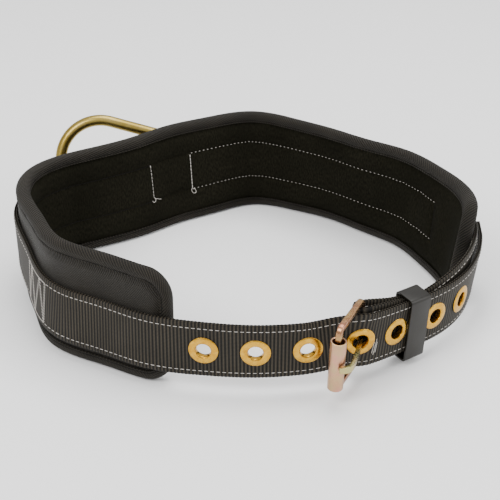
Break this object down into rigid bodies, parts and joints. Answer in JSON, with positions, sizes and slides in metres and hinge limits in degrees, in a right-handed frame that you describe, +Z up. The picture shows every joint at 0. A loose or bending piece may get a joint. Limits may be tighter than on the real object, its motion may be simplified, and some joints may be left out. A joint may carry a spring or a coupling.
{
  "type": "restraint body belt",
  "caption": "Padded waist belt with a webbing strap, grommets, roller buckle, keeper and a heavy D-ring at the back.",
  "frame": {"origin": "middle of the belt's plan box, on the surface that its lower edge stands on", "axes": "+Z up along the wearer's body, -Y to the front with the buckle, +X to the side with the tail's tip"},
  "size_m": [0.3768, 0.3416, 0.0984],
  "materials": {
    "pad_cloth": "near-black nylon twill outside, brushed lining inside",
    "edge_tape": "folded dark twill tape",
    "strap_webbing": "dark ribbed webbing with pale stitches",
    "grommet_brass": "satin gold",
    "buckle_steel": "yellow zinc plated",
    "roller_steel": "yellow zinc plated",
    "keeper_metal": "dark matte",
    "ring_metal": "yellow zinc plated, polished"
  },
  "bodies": {
    "belt": {"back_pad": "pad_cloth", "edge_binding": "edge_tape", "belt_strap": "strap_webbing", "grommet_1": "grommet_brass", "grommet_2": "grommet_brass", "grommet_3": "grommet_brass", "grommet_4": "grommet_brass", "grommet_5": "grommet_brass", "grommet_6": "grommet_brass", "grommet_7": "grommet_brass", "buckle_frame": "buckle_steel", "buckle_roller": "roller_steel", "buckle_tongue": "buckle_steel", "strap_keeper": "keeper_metal"},
    "d_ring": {"d_ring": "ring_metal"}
  },
  "joints": [
    {"name": "d_ring_swing", "type": "hinge", "parent": "belt", "child": "d_ring", "pos_m": [-0.08669, 0.12348, 0.0477], "axis": [0.2614, 0.3652, 0.8935], "range_deg": [-120, 14]}
  ]
}
